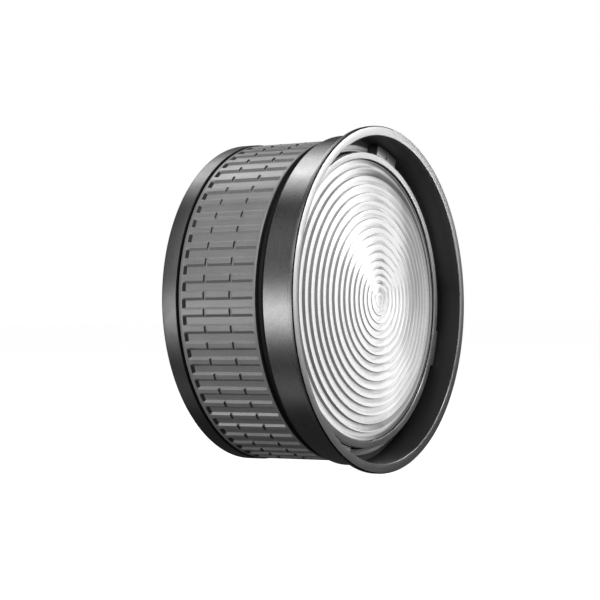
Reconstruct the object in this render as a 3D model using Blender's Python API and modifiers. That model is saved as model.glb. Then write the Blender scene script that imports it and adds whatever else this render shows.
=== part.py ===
"""Fresnel spotlight lens unit: a focusing Fresnel lens in a drum housing.

Frame: metres, +Z up, optical axis along Y with the front (the lens) facing -Y.
The origin is the middle of the drum, on the optical axis.

Dimensions are in millimetres.  Turned pieces are drawn as profiles of (radius, depth).
Depth is 0 at the front face of the rim and grows negative towards the rear.  Angles are
in degrees and go clockwise from the top as seen from the front.
"""
import math

import bmesh
import bpy
from mathutils import Matrix, Vector

# ---------------------------------------------------------------- dimensions, mm
MILLI = 0.001             # metres in a millimetre
LENGTH = 126.2            # rim front face to the rear of the bayonet mount
GAP = 0.3                 # clearance between resting pieces
SCREW_PLAY = 0.35         # screw hole radius over the shank radius
DRUM_SEGMENTS = 72        # facets round a drum

# front housing: a rim flange, a barrel and an inward web at its rear
RIM_RADIUS = 125.5
RIM_DEPTH = 4.0
HOUSING_RADIUS = 120.0
HOUSING_BORE = 118.4      # inside radius
HOUSING_REAR = -29.5
WEB_FRONT = -26.5
WEB_RADIUS = 110.4        # inner edge of the web

# guide barrel, with front tabs resting on the web
BARREL_INNER = 108.3
BARREL_OUTER = 110.0
BARREL_FRONT = -22.0
BARREL_REAR = -111.4
BARREL_FLANGE_RADIUS = 114.7
BARREL_FLANGE_FRONT = BARREL_REAR + 3.0
TAB_RADIUS = 113.0
TAB_START, TAB_END = -21.0, 8.0   # first tab, degrees
TAB_REAR = WEB_FRONT + GAP

# clamp blocks
BLOCK_ANGLES = [19.0 + 90.0 * k for k in range(4)]
BLOCK_HALF = 14.1         # half width across parallel sides
BLOCK_INNER = 107.95
BLOCK_OUTER = 117.0
BLOCK_HEEL_RADIUS = 110.7
BLOCK_FRONT = -18.0
BLOCK_STEP = BARREL_FRONT + GAP
BLOCK_SCREW_CIRCLE = 112.9
BLOCK_BORE_RADIUS = 2.05
BLOCK_BORE_FLOOR = -21.9
SHANK_RADIUS = 1.35       # block screws and barrel screws
HOLE_RADIUS = SHANK_RADIUS + SCREW_PLAY

# focus ring: a sleeve under a rubber grip
FOCUS_FRONT = -35.2
FOCUS_REAR = -99.5
SLEEVE_INNER = 110.45
SLEEVE_OUTER = 112.6
GRIP_INNER = SLEEVE_OUTER + GAP
GRIP_OUTER = 117.07

# rear housing
REAR_FRONT = -101.2
REAR_OUTER = 117.6
REAR_INNER = 115.2
PLATE_FRONT = BARREL_REAR - GAP
REAR_FACE = PLATE_FRONT - 2.5
PORT_RADIUS = 52.0        # light port in the back plate
REAR_SCREW_ANGLES = [45.0 + 90.0 * k for k in range(4)]
BARREL_SCREW_CIRCLE = 111.9

# bayonet mount ring
MOUNT_FLANGE_RADIUS = 68.0
MOUNT_TUBE_INNER = 44.0
MOUNT_TUBE_OUTER = 48.5
MOUNT_FRONT = REAR_FACE - GAP
MOUNT_FLANGE_REAR = -117.0
MOUNT_REAR = -LENGTH
LUG_RADII = (46.5, 52.3)
LUG_HALF_ANGLE = 22
MOUNT_SCREW_CIRCLE = 61.0
MOUNT_SHANK_RADIUS = 1.55
MOUNT_HOLE_RADIUS = MOUNT_SHANK_RADIUS + SCREW_PLAY

# sliding lens carrier, and the retaining ring in its front
CARRIER_INNER = 104.4
CARRIER_OUTER = 107.5
CARRIER_FRONT = -17.1
CARRIER_REAR = -52.0
CARRIER_STEP_RADIUS = 105.7
CARRIER_STEP = -20.1
POCKET_RADIUS = 103.9     # pocket that holds the lens edge
SEAT_INNER = 100.5        # inward ledge under the gasket
SEAT_FRONT = -22.6
SEAT_REAR = -25.0
RING_FRONT = -14.3
RING_REAR = CARRIER_FRONT + GAP

# lens
LENS_RADIUS = POCKET_RADIUS - GAP
LENS_CLEAR_RADIUS = 102.3
LENS_APEX = -4.5
LENS_SAG = 11.5
LENS_EDGE_FRONT = RING_REAR - GAP
LENS_EDGE_REAR = -21.0
LENS_BACK_RADIUS = 100.0  # outer edge of the hollow back
LENS_BACK_APEX = -12.5
# radii of the steps in the front
LENS_STEPS = (11.4, 17.1, 22.4, 28.1, 34.0, 40.0, 46.2, 52.1,
              58.8, 65.1, 71.3, 77.4, 83.8, 90.0, 96.0)
LENS_STEP_HEIGHT = 2.9    # step height far from the middle
LENS_STEP_FADE = 38.0     # radius over which the steps grow

# follower pins and the slots that guide them
FOLLOWER_DEPTH = -45.0    # at rest
FOLLOWER_ANGLES = (60.0, 180.0, 300.0)
PIN_RADIUS = 1.5
PIN_HOLE_RADIUS = PIN_RADIUS + GAP
BUSH_RADIUS = 3.0
SLOT_HALF = BUSH_RADIUS + GAP
TRAVEL = 45.0             # lens travel for the whole turn of the focus ring
TURN = 90.0               # focus ring travel, degrees
SLOT_END = 1.9            # helical slot beyond the pin's centre at each end, degrees

# ---------------------------------------------------------------- scene and materials
for old in list(bpy.data.objects):
    bpy.data.objects.remove(old, do_unlink=True)


def collection(name):
    group = bpy.data.collections.new(name)
    bpy.context.scene.collection.children.link(group)
    return group


PARTS = collection("fresnel_spotlight")
CUTTERS = collection("cutters")

# local Z is the optical axis towards the front, local Y is up
FORWARD = (0, 0, 1)
REARWARD = (0, 0, -1)
DRUM = (Matrix.Translation((0, -LENGTH / 2 * MILLI, 0))
        @ Matrix.Rotation(math.radians(90), 4, "X"))


def material(name, colour, roughness, metallic):
    made = bpy.data.materials.new(name)
    made.use_nodes = True
    shader = made.node_tree.nodes["Principled BSDF"]
    shader.inputs["Base Color"].default_value = (*colour, 1.0)
    shader.inputs["Roughness"].default_value = roughness
    shader.inputs["Metallic"].default_value = metallic
    return made


# key: (name, colour, roughness, metallic)
MATERIALS = {key: material(*look) for key, look in {
    "housing": ("anodised_housing", (0.10, 0.10, 0.105), 0.34, 0.9),
    "barrel": ("black_barrel", (0.02, 0.02, 0.02), 0.55, 0.2),
    "block": ("satin_block", (0.16, 0.16, 0.165), 0.4, 0.8),
    "screw": ("steel_screw", (0.55, 0.55, 0.56), 0.3, 1.0),
    "rubber": ("grey_rubber", (0.16, 0.16, 0.16), 0.75, 0.0),
    "slide": ("black_polymer", (0.012, 0.012, 0.012), 0.6, 0.0),
    "sleeve": ("dark_sleeve", (0.07, 0.07, 0.075), 0.4, 0.8),
    "ring": ("bright_ring", (0.45, 0.45, 0.46), 0.3, 0.9),
    "glass": ("lens_glass", (0.9, 0.92, 0.92), 0.05, 0.0),
    "gasket": ("seal_rubber", (0.03, 0.03, 0.03), 0.8, 0.0),
    "brass": ("brass_bush", (0.6, 0.45, 0.2), 0.35, 1.0),
}.items()}


# ---------------------------------------------------------------- shapes
def polar(radius, degrees, z):
    """A local point from radius, clockwise angle from the top, and depth (mm)."""
    angle = math.radians(degrees)
    return Vector((radius * math.sin(angle), radius * math.cos(angle), z)) * MILLI


def outward(degrees):
    return polar(1000.0, degrees, 0.0).normalized()


def sweep(radii, depths, start, end, steps, shift=0.0):
    """A rectangular bar swept round the axis, moved evenly along it by shift."""
    (inner, outer), (low, high) = radii, depths
    corners = ((inner, low), (outer, low), (outer, high), (inner, high))
    shape = bmesh.new()
    shape.faces.new([shape.verts.new(polar(radius, start, z)) for radius, z in corners])
    bmesh.ops.spin(
        shape, geom=shape.verts[:] + shape.edges[:] + shape.faces[:], cent=(0, 0, 0),
        axis=REARWARD, dvec=(0, 0, shift * MILLI / steps),
        angle=math.radians(end - start), steps=steps, use_duplicate=False)
    bmesh.ops.remove_doubles(shape, verts=shape.verts[:], dist=1e-7)
    bmesh.ops.holes_fill(shape, edges=shape.edges[:], sides=0)
    bmesh.ops.recalc_face_normals(shape, faces=shape.faces[:])
    return shape


def saddle(section, middle, half, steps=4):
    """A closed (radius, depth) section carried round the axis between parallel sides."""
    shape = bmesh.new()
    rows = []
    for i in range(steps + 1):
        share = 2.0 * i / steps - 1.0
        rows.append([
            shape.verts.new(polar(
                radius, middle + math.degrees(math.asin(half / radius)) * share, z))
            for radius, z in section])
    count = len(section)
    for low, high in zip(rows, rows[1:]):
        for k in range(count):
            after = (k + 1) % count
            shape.faces.new((low[k], high[k], high[after], low[after]))
    shape.faces.new(rows[0])
    shape.faces.new(rows[-1][::-1])
    bmesh.ops.recalc_face_normals(shape, faces=shape.faces[:])
    return shape


def cone(radius, end_radius, length, segments):
    """A closed cone or cylinder along Z, centred on the origin."""
    shape = bmesh.new()
    bmesh.ops.create_cone(
        shape, cap_ends=True, segments=segments, radius1=radius * MILLI,
        radius2=end_radius * MILLI, depth=length * MILLI)
    return shape


def rod(radius, length, base, toward=FORWARD, segments=12, end_radius=None):
    """A closed cylinder or cone starting at base and running along toward."""
    shape = cone(radius, radius if end_radius is None else end_radius, length, segments)
    direction = Vector(toward).normalized()
    turn = Vector((0, 0, 1)).rotation_difference(direction).to_matrix().to_4x4()
    shape.transform(Matrix.Translation(Vector(base) + direction * (length / 2 * MILLI)) @ turn)
    return shape


def stadium(radius, reach, base, out, along, depth):
    """A slot-shaped prism: a rod centred on base, stretched by reach along one way."""
    shape = cone(radius, radius, depth, segments=20)
    for vert in shape.verts:
        if vert.co.x > 1e-9:
            vert.co.x += reach * MILLI
    out, along = Vector(out).normalized(), Vector(along).normalized()
    basis = Matrix((along, out.cross(along), out)).transposed().to_4x4()
    shape.transform(Matrix.Translation(Vector(base)) @ basis)
    return shape


# ---------------------------------------------------------------- objects
def place(name, mesh, look, matrix=DRUM):
    """An object in the parts collection, or a hidden cutter if it has no material."""
    piece = bpy.data.objects.new(name, mesh)
    if look:
        PARTS.objects.link(piece)
        mesh.materials.append(MATERIALS[look])
    else:
        CUTTERS.objects.link(piece)
        piece.hide_render = True
        piece.display_type = "WIRE"
    piece.matrix_world = matrix
    return piece


def lathe(name, profile, look, segments=DRUM_SEGMENTS, matrix=DRUM):
    """Turn a (radius, depth) profile; one that starts and ends on the axis stays open."""
    mesh = bpy.data.meshes.new(name)
    verts = [(radius * MILLI, 0.0, z * MILLI) for radius, z in profile]
    last = len(verts) - 1
    edges = [(i, i + 1) for i in range(last)]
    if profile[0][0] > 1e-6 or profile[-1][0] > 1e-6:
        edges.append((last, 0))
    mesh.from_pydata(verts, edges, [])
    piece = place(name, mesh, look, matrix)
    turn = piece.modifiers.new("turn", "SCREW")
    turn.axis = "Z"
    turn.angle = math.tau
    turn.steps = turn.render_steps = segments
    turn.use_merge_vertices = True
    turn.merge_threshold = 0.00001
    turn.use_smooth_shade = True
    return piece


def lathe_screw(name, profile, circle, degrees):
    """A screw along the optical axis, standing at a radius and angle."""
    matrix = DRUM @ Matrix.Translation(polar(circle, degrees, 0.0))
    return lathe(name, profile, "screw", segments=12, matrix=matrix)


def solid(name, shape, look):
    mesh = bpy.data.meshes.new(name)
    shape.to_mesh(mesh)
    shape.free()
    mesh.shade_smooth()
    mesh.set_sharp_from_angle(angle=math.radians(30))
    return place(name, mesh, look)


def boolean(piece, name, shape, operation):
    tool = solid(name, shape, look=None)
    modifier = piece.modifiers.new(tool.name, "BOOLEAN")
    modifier.operation = operation
    modifier.object = tool
    modifier.solver = "EXACT"


def cut(piece, name, shape):
    boolean(piece, name, shape, "DIFFERENCE")


def join(piece, name, shape):
    boolean(piece, name, shape, "UNION")


# ---------------------------------------------------------------- fixed housing
def build_front_housing():
    housing = lathe("front_housing", [
        (RIM_RADIUS - 0.6, 0.0), (RIM_RADIUS, -0.6),
        (RIM_RADIUS, -RIM_DEPTH + 0.4), (RIM_RADIUS - 0.4, -RIM_DEPTH),
        (HOUSING_RADIUS, -RIM_DEPTH), (HOUSING_RADIUS, HOUSING_REAR + 2.2),
        (HOUSING_RADIUS - 1.4, HOUSING_REAR), (WEB_RADIUS, HOUSING_REAR),
        (WEB_RADIUS, WEB_FRONT), (HOUSING_BORE, WEB_FRONT),
        (HOUSING_BORE, -0.5), (HOUSING_BORE + 0.5, 0.0)], "housing")
    for k, angle in enumerate(BLOCK_ANGLES, 1):
        base = polar(BLOCK_SCREW_CIRCLE, angle, HOUSING_REAR - 1.5)
        cut(housing, f"web_hole_tool_{k}", rod(HOLE_RADIUS, 6.0, base))


def build_guide_barrel():
    barrel = lathe("guide_barrel", [
        (BARREL_OUTER, BARREL_FRONT), (BARREL_OUTER, BARREL_FLANGE_FRONT),
        (BARREL_FLANGE_RADIUS, BARREL_FLANGE_FRONT), (BARREL_FLANGE_RADIUS, BARREL_REAR),
        (BARREL_INNER, BARREL_REAR), (BARREL_INNER, BARREL_FRONT)], "barrel")
    for k in range(4):
        turn = 90.0 * k
        join(barrel, f"tab_tool_{k + 1}",
             sweep((109.2, TAB_RADIUS), (TAB_REAR, BARREL_FRONT - 0.02),
                   TAB_START + turn, TAB_END + turn, steps=6))
    for k, angle in enumerate(REAR_SCREW_ANGLES, 1):
        base = polar(BARREL_SCREW_CIRCLE, angle, BARREL_REAR - 0.8)
        cut(barrel, f"barrel_flange_hole_tool_{k}", rod(HOLE_RADIUS, 5.0, base))
    # straight slots for the followers
    for k, angle in enumerate(FOLLOWER_ANGLES, 1):
        cut(barrel, f"straight_slot_tool_{k}",
            stadium(SLOT_HALF, TRAVEL, polar(109.2, angle, FOLLOWER_DEPTH),
                    out=outward(angle), along=REARWARD, depth=5.0))


def build_clamp_block(k, angle):
    """A pad over the barrel's front end, and a heel standing on the web."""
    block = solid(f"clamp_block_{k}", saddle([
        (BLOCK_INNER, BLOCK_FRONT), (BLOCK_OUTER, BLOCK_FRONT), (BLOCK_OUTER, TAB_REAR),
        (BLOCK_HEEL_RADIUS, TAB_REAR), (BLOCK_HEEL_RADIUS, BLOCK_STEP),
        (BLOCK_INNER, BLOCK_STEP)], angle, BLOCK_HALF), "block")
    cut(block, f"block_hole_tool_{k}",
        rod(HOLE_RADIUS, 14.0, polar(BLOCK_SCREW_CIRCLE, angle, -30.0)))
    cut(block, f"block_bore_tool_{k}",
        rod(BLOCK_BORE_RADIUS, 8.0, polar(BLOCK_SCREW_CIRCLE, angle, BLOCK_BORE_FLOOR),
            segments=16))


def build_clamp_block_screw(k, angle):
    """A socket head screw in the counterbore, head to the front."""
    head_radius, head_height, shank_length = 1.95, 2.0, 6.7
    seat = BLOCK_BORE_FLOOR + GAP
    screw = lathe_screw(f"clamp_block_screw_{k}", [
        (0.0, seat + head_height), (head_radius * 0.7, seat + head_height),
        (head_radius, seat + head_height * 0.6), (head_radius, seat),
        (SHANK_RADIUS, seat), (SHANK_RADIUS, seat - shank_length),
        (0.0, seat - shank_length)], BLOCK_SCREW_CIRCLE, angle)
    cut(screw, f"screw_socket_tool_{k}",
        rod(1.1, 2.0, polar(BLOCK_SCREW_CIRCLE, angle, seat + 0.9), segments=6))


def build_slide_ring(name, outer, front, rear):
    lathe(name, [(outer, front), (outer, rear), (WEB_RADIUS, rear), (WEB_RADIUS, front)],
          "slide", segments=60)


def build_rear_housing():
    housing = lathe("rear_housing", [
        (REAR_OUTER - 0.3, REAR_FRONT), (REAR_OUTER, REAR_FRONT - 0.4),
        (REAR_OUTER, REAR_FACE + 1.2), (REAR_OUTER - 1.2, REAR_FACE),
        (PORT_RADIUS, REAR_FACE), (PORT_RADIUS, PLATE_FRONT),
        (REAR_INNER, PLATE_FRONT), (REAR_INNER, REAR_FRONT)], "housing")
    for k, angle in enumerate(REAR_SCREW_ANGLES, 1):
        cut(housing, f"barrel_screw_hole_tool_{k}",
            rod(HOLE_RADIUS, 5.0, polar(BARREL_SCREW_CIRCLE, angle, REAR_FACE - 1.0)))
        cut(housing, f"countersink_tool_{k}",
            rod(3.4, 2.0, polar(BARREL_SCREW_CIRCLE, angle, REAR_FACE - 0.2),
                end_radius=1.4))
        cut(housing, f"plate_hole_tool_{k}",
            rod(MOUNT_HOLE_RADIUS, 5.0, polar(MOUNT_SCREW_CIRCLE, angle, REAR_FACE - 1.3)))


def build_mount_ring():
    mount = lathe("mount_ring", [
        (MOUNT_FLANGE_RADIUS, MOUNT_FRONT), (MOUNT_FLANGE_RADIUS, MOUNT_FLANGE_REAR + 0.6),
        (MOUNT_FLANGE_RADIUS - 0.6, MOUNT_FLANGE_REAR),
        (MOUNT_TUBE_OUTER, MOUNT_FLANGE_REAR), (MOUNT_TUBE_OUTER, MOUNT_REAR),
        (MOUNT_TUBE_INNER, MOUNT_REAR), (MOUNT_TUBE_INNER, MOUNT_FRONT)], "ring")
    for k in range(3):
        middle = 120.0 * k
        join(mount, f"lug_tool_{k + 1}",
             sweep(LUG_RADII, (MOUNT_REAR + 0.4, MOUNT_REAR + 3.0),
                   middle - LUG_HALF_ANGLE, middle + LUG_HALF_ANGLE, steps=9))
    for k, angle in enumerate(REAR_SCREW_ANGLES, 1):
        base = polar(MOUNT_SCREW_CIRCLE, angle, MOUNT_FLANGE_REAR - 2.0)
        cut(mount, f"mount_hole_tool_{k}", rod(MOUNT_HOLE_RADIUS, 5.0, base))


def build_barrel_screw(k, angle):
    """A countersunk screw, back plate to barrel flange."""
    tip = BARREL_REAR + 2.5
    head = REAR_FACE + 0.15
    lathe_screw(f"barrel_screw_{k}", [
        (0.0, tip), (SHANK_RADIUS, tip), (SHANK_RADIUS, head + 1.4),
        (2.75, head), (0.0, head)], BARREL_SCREW_CIRCLE, angle)


def build_mount_ring_screw(k, angle):
    """A pan head screw, mount ring to back plate, head to the rear."""
    tip = PLATE_FRONT - 0.2
    seat = MOUNT_FLANGE_REAR - GAP
    lathe_screw(f"mount_ring_screw_{k}", [
        (0.0, tip), (MOUNT_SHANK_RADIUS, tip), (MOUNT_SHANK_RADIUS, seat),
        (3.0, seat), (3.0, seat - 1.1), (2.1, seat - 2.0), (0.0, seat - 2.0)],
        MOUNT_SCREW_CIRCLE, angle)


# ---------------------------------------------------------------- focus ring
def build_focus_sleeve():
    """The sleeve, whose helical slots draw the followers rearward as it turns clockwise."""
    sleeve = lathe("focus_sleeve", [
        (SLEEVE_OUTER, FOCUS_FRONT), (SLEEVE_OUTER, FOCUS_REAR),
        (SLEEVE_INNER, FOCUS_REAR), (SLEEVE_INNER, FOCUS_FRONT)], "sleeve")
    lead_radius = 111.5   # where the slope of the helix is taken
    lead = math.atan2(TRAVEL, math.radians(TURN) * lead_radius)
    half_axial = SLOT_HALF / math.cos(lead)
    run = TURN + 2 * SLOT_END
    middle = FOLLOWER_DEPTH + TRAVEL * SLOT_END / TURN
    for k, angle in enumerate(FOLLOWER_ANGLES, 1):
        start = angle + SLOT_END
        cut(sleeve, f"helix_tool_{k}",
            sweep((108.8, 114.2), (middle - half_axial, middle + half_axial),
                  start, start - run, steps=19, shift=-TRAVEL * run / TURN))


GRIP_PITCHES = 62
GRIP_PHASE = 269.27               # middle of one pocket, degrees
GRIP_FLOOR_RADIUS = 115.62        # floor of the pockets
GRIP_POCKET = (-37.7, -96.4)      # front and rear of a pocket at the skin
GRIP_FLOOR = (-38.5, -94.9)       # front and rear of a pocket at its floor
LIP_SHARE = 0.695                 # pocket width over the pitch, at the skin
FLOOR_SHARE = 0.440               # and at the floor
NOTCH_DEPTHS = (-56.8, -78.5)     # middles of the notches across each rib
NOTCH_HALF = 1.2
NOTCH_RADIUS = 116.32
POCKETS, RIBS = 0, 1              # parity of the first edge of a pocket or rib


def build_grip_rubber():
    """Long pockets between plain edge bands, and two notches across every rib."""
    shape = bmesh.new()
    pitch = 360.0 / GRIP_PITCHES
    lip_half = pitch * LIP_SHARE / 2
    floor_half = pitch * FLOOR_SHARE / 2
    count = 2 * GRIP_PITCHES

    def edge_points(z, radius, half):
        """One point at each edge of every pocket."""
        return [polar(radius, GRIP_PHASE + (i // 2) * pitch + (1 if i % 2 else -1) * half, z)
                for i in range(count)]

    def line(points):
        return [shape.verts.new(point) for point in points]

    def wall_line(z, share):
        """A line on the drafted pocket walls, share 0 at the skin and 1 at the floor."""
        lips = edge_points(z, GRIP_OUTER, lip_half)
        feet = edge_points(z, GRIP_FLOOR_RADIUS, floor_half)
        return line([lip.lerp(foot, share) for lip, foot in zip(lips, feet)])

    def strip(first, second, only=None):
        """Faces between two lines: all of them, or only the pockets or ribs."""
        for i in range(count):
            if only is None or i % 2 == only:
                j = (i + 1) % count
                shape.faces.new((first[i], second[i], second[j], first[j]))

    front, pocket_front, pocket_rear, rear = [
        line(edge_points(z, GRIP_OUTER, lip_half)) for z in (FOCUS_FRONT, *GRIP_POCKET, FOCUS_REAR)]
    inner_rear, inner_front = [
        line(edge_points(z, GRIP_INNER, lip_half)) for z in (FOCUS_REAR, FOCUS_FRONT)]
    floor_front, floor_rear = [
        line(edge_points(z, GRIP_FLOOR_RADIUS, floor_half)) for z in GRIP_FLOOR]
    strip(front, pocket_front)
    strip(pocket_rear, rear)
    strip(rear, inner_rear)
    strip(inner_rear, inner_front)
    strip(inner_front, front)
    strip(pocket_front, floor_front, POCKETS)
    strip(floor_front, floor_rear, POCKETS)
    strip(floor_rear, pocket_rear, POCKETS)

    notch_share = (GRIP_OUTER - NOTCH_RADIUS) / (GRIP_OUTER - GRIP_FLOOR_RADIUS)
    crest = [pocket_front]
    for z in NOTCH_DEPTHS:
        for share, side in ((0.0, 1), (notch_share, 1), (notch_share, -1), (0.0, -1)):
            crest.append(wall_line(z + side * NOTCH_HALF, share))
    crest.append(pocket_rear)
    for first, second in zip(crest, crest[1:]):
        strip(first, second, RIBS)
    # pocket side walls
    for i in range(count):
        shape.faces.new([row[i] for row in crest] + [floor_rear[i], floor_front[i]])
    bmesh.ops.recalc_face_normals(shape, faces=shape.faces[:])
    solid("grip_rubber", shape, "rubber")


# ---------------------------------------------------------------- lens carriage
def build_lens_carrier():
    carrier = lathe("lens_carrier", [
        (CARRIER_OUTER, CARRIER_FRONT), (CARRIER_OUTER, CARRIER_REAR),
        (CARRIER_INNER, CARRIER_REAR), (CARRIER_INNER, SEAT_REAR),
        (SEAT_INNER, SEAT_REAR), (SEAT_INNER, SEAT_FRONT),
        (POCKET_RADIUS, SEAT_FRONT), (POCKET_RADIUS, CARRIER_STEP),
        (CARRIER_STEP_RADIUS, CARRIER_STEP), (CARRIER_STEP_RADIUS, CARRIER_FRONT)], "barrel")
    for k, angle in enumerate(FOLLOWER_ANGLES, 1):
        cut(carrier, f"pin_hole_tool_{k}",
            rod(PIN_HOLE_RADIUS, 6.0, polar(103.0, angle, FOLLOWER_DEPTH), outward(angle)))


def build_lens_retaining_ring():
    """A flat ring with a rearward lip between the lens edge and the carrier."""
    lip_outer = CARRIER_STEP_RADIUS - GAP
    lip_inner = POCKET_RADIUS + GAP
    lip_rear = CARRIER_STEP + GAP
    lathe("lens_retaining_ring", [
        (CARRIER_OUTER - 0.3, RING_FRONT), (CARRIER_OUTER, RING_FRONT - 0.3),
        (CARRIER_OUTER, RING_REAR), (lip_outer, RING_REAR), (lip_outer, lip_rear),
        (lip_inner, lip_rear), (lip_inner, RING_REAR), (LENS_CLEAR_RADIUS, RING_REAR),
        (LENS_CLEAR_RADIUS, RING_FRONT - 0.6), (LENS_CLEAR_RADIUS + 0.5, RING_FRONT)], "ring")


def build_lens_gasket():
    inner, front, rear = 101.2, LENS_EDGE_REAR - GAP, SEAT_FRONT + GAP
    lathe("lens_gasket", [(LENS_RADIUS, front), (LENS_RADIUS, rear), (inner, rear),
                          (inner, front)], "gasket", segments=48)


def build_fresnel_lens():
    """Stepped front under a shallow dome, flat clamped edge and hollow back."""
    def dome(radius):
        return LENS_APEX - LENS_SAG * (radius / LENS_CLEAR_RADIUS) ** 2

    def step_half(radius):
        return LENS_STEP_HEIGHT * (1.0 - math.exp(-radius / LENS_STEP_FADE)) / 2

    front = [(0.0, dome(0.0))]
    for radius in LENS_STEPS:
        front += [(radius, dome(radius) + step_half(radius)),
                  (radius, dome(radius) - step_half(radius))]
    front_edge = LENS_CLEAR_RADIUS - 0.6
    front.append((front_edge, dome(front_edge)))
    edge = [(LENS_CLEAR_RADIUS - 0.5, LENS_EDGE_FRONT), (LENS_RADIUS, LENS_EDGE_FRONT),
            (LENS_RADIUS, LENS_EDGE_REAR), (LENS_BACK_RADIUS, LENS_EDGE_REAR)]
    hollow = LENS_BACK_APEX - LENS_EDGE_REAR
    back = [(radius, LENS_BACK_APEX - hollow * (radius / LENS_BACK_RADIUS) ** 2)
            for radius in (66.0, 33.0, 0.0)]
    lathe("fresnel_lens", front + edge + back, "glass")


def build_follower(k, angle):
    """A radial pin in the carrier, and the bush on it that runs in the slots."""
    out = outward(angle)

    def radial_rod(radius, length, start, segments=12):
        return rod(radius, length, polar(start, angle, FOLLOWER_DEPTH), out, segments)

    solid(f"follower_pin_{k}", radial_rod(PIN_RADIUS, 7.6, 104.7), "screw")
    bush = solid(f"follower_bush_{k}", radial_rod(BUSH_RADIUS, 4.5, 107.8, 16), "brass")
    cut(bush, f"bush_bore_tool_{k}", radial_rod(PIN_HOLE_RADIUS, 8.0, 106.0))


# ---------------------------------------------------------------- assembly
build_front_housing()
build_guide_barrel()
for number, place_angle in enumerate(BLOCK_ANGLES, 1):
    build_clamp_block(number, place_angle)
    build_clamp_block_screw(number, place_angle)
build_slide_ring("front_slide_ring", outer=114.4,
                 front=HOUSING_REAR - GAP, rear=FOCUS_FRONT + GAP)
build_slide_ring("rear_slide_ring", outer=BARREL_FLANGE_RADIUS,
                 front=FOCUS_REAR - GAP, rear=BARREL_FLANGE_FRONT + GAP)
build_rear_housing()
build_mount_ring()
for number, place_angle in enumerate(REAR_SCREW_ANGLES, 1):
    build_barrel_screw(number, place_angle)
    build_mount_ring_screw(number, place_angle)
build_focus_sleeve()
build_grip_rubber()
build_lens_carrier()
build_lens_retaining_ring()
build_lens_gasket()
build_fresnel_lens()
for number, place_angle in enumerate(FOLLOWER_ANGLES, 1):
    build_follower(number, place_angle)
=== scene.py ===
"""Fresnel spotlight lens unit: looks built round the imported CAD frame.

The optical axis is the y axis: the front faces -y, the rear +y, and z is up. Lengths are in
millimetres unless said otherwise. A place is given by its radius from the axis, its angle
clockwise from the top as seen from the front, and its axial position, which is 0 at the rim
face and negative behind it.
"""
import math
from functools import cached_property

import bmesh
import bpy
from mathutils import Matrix, Vector


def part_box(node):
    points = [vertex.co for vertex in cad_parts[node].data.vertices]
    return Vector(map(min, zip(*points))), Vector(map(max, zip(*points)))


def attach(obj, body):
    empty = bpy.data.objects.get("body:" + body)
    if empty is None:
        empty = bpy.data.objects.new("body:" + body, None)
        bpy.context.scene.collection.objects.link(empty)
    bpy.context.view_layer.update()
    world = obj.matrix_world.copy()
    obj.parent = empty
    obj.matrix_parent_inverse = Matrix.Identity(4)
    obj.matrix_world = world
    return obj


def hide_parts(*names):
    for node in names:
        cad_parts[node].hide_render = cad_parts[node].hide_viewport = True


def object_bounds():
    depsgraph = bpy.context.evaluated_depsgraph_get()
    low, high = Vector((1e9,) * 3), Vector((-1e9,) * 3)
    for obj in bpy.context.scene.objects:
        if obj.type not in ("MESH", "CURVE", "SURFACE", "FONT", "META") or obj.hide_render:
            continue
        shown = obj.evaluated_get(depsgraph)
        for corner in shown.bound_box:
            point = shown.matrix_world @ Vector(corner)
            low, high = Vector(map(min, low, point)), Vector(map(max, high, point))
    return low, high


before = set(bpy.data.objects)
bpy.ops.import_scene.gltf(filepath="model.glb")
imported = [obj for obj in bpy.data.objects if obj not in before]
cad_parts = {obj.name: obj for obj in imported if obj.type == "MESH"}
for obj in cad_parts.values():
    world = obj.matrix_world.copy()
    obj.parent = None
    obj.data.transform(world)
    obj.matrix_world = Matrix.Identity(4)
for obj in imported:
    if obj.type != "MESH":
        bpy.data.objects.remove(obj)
cad_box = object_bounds()

MM = 0.001
FRONT_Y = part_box("front_housing")[0].y          # the rim's front face, in metres

# the front surface of the glass follows a parabolic dome
DOME_TOP = -4.5                                 # axial position of its middle
DOME_RISE = 11.5                                # how far it falls back at DOME_RADIUS
DOME_RADIUS = 102.3

CLAMP_ANGLES = [19.0 + 90 * k for k in range(4)]
CLAMP_RADIUS = 112.9                            # circle of the clamp screws
PLATE_ANGLES = [45.0 + 90 * k for k in range(4)]
PLATE_RADIUS = 111.9                            # circle of the countersunk screws
PLATE_BACK = -114.2                             # rear face of the rear housing
MOUNT_RADIUS = 61.0                             # circle of the mount ring screws
HOLE_RADIUS = 1.7                               # clearance hole of the small screws


# ------------------------------------------------------------------ geometry helpers
def place(radius, turn, axial):
    """World point from radius, turn in radians and axial position."""
    return (radius * math.sin(turn) * MM, FRONT_Y - axial * MM, radius * math.cos(turn) * MM)


def polar(radius, degrees, axial):
    """World point from radius, angle in degrees and axial position."""
    return place(radius, math.radians(degrees), axial)


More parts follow.
